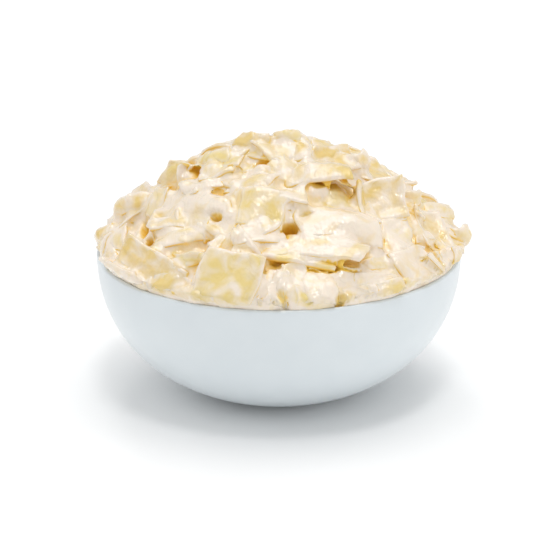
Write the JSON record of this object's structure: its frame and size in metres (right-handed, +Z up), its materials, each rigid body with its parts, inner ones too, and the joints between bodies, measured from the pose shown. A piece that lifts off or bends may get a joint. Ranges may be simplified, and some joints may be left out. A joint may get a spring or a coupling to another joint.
{
  "type": "creamed cabbage in a bowl",
  "caption": "Heap of cut cabbage leaves and ribs in cream sauce, filling a round white porcelain bowl and domed high above its lip.",
  "frame": {"origin": "centre of the bowl's flat base, where it stands", "axes": "+Z up along the bowl's axis; -Y is the side that faces the viewer in the picture; +X is to the viewer's right"},
  "size_m": [0.1642, 0.1605, 0.1185],
  "materials": {
    "porcelain": "white glaze, softly glossy",
    "creamed_cabbage": "moist cream sauce over pale yellow cooked cabbage"
  },
  "bodies": {
    "root": {"bowl": "porcelain", "creamed_cabbage": "creamed_cabbage"}
  },
  "joints": []
}
